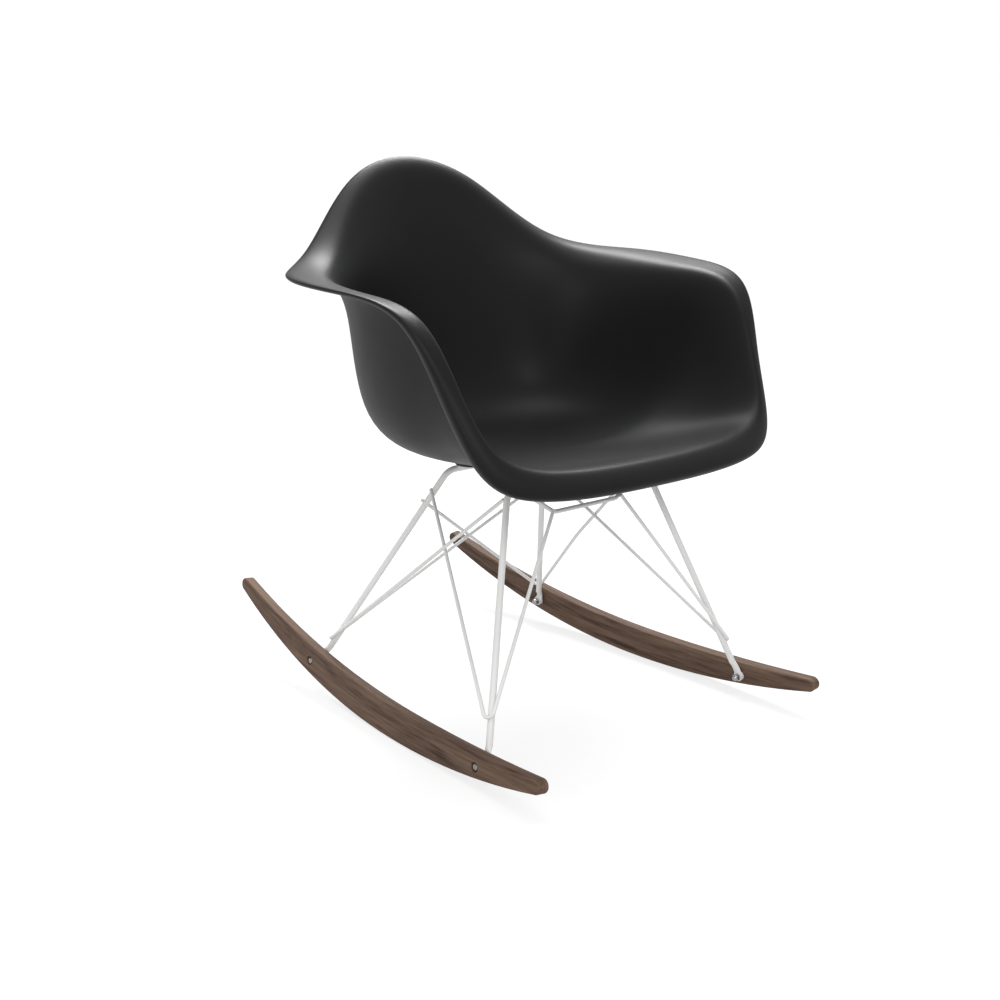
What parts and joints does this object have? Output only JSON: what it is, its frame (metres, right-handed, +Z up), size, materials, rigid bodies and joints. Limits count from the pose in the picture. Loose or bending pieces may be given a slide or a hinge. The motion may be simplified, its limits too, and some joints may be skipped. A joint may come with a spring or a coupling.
{
  "type": "rocking chair",
  "caption": "Rocking armchair: a moulded plastic bucket shell on rubber mounts, a welded steel rod and wire base, and two bent wooden rockers.",
  "frame": {"origin": "on the floor, on the mirror plane, midway between the front and rear rocker bolts", "axes": "+Z up, +X to the sitter's left, the sitter faces -Y"},
  "size_m": [0.6532, 0.7732, 0.7631],
  "materials": {
    "shell": "black moulded polypropylene, fine satin texture",
    "mount_rubber": "black moulded rubber",
    "coated_steel": "white powder coat, satin",
    "zinc_steel": "zinc plated",
    "bright_steel": "bright nickel plate",
    "walnut": "oiled walnut, grain along the length"
  },
  "bodies": {
    "root": {"seat_shell": "shell", "shock_mount_front_left": "mount_rubber", "shock_mount_front_right": "mount_rubber", "shock_mount_rear_left": "mount_rubber", "shock_mount_rear_right": "mount_rubber", "mount_plate_front_left": "coated_steel", "mount_plate_front_right": "coated_steel", "mount_plate_rear_left": "coated_steel", "mount_plate_rear_right": "coated_steel", "mount_inserts": "zinc_steel", "mount_screws": "zinc_steel", "front_leg_rod": "coated_steel", "rear_leg_rod": "coated_steel", "front_brace_left": "coated_steel", "front_brace_right": "coated_steel", "rear_brace_left": "coated_steel", "rear_brace_right": "coated_steel", "front_cross_wire": "coated_steel", "rocker_left": "walnut", "rocker_right": "walnut", "rocker_bolts": "bright_steel", "rocker_washers": "bright_steel", "cap_nuts": "bright_steel"}
  },
  "joints": []
}
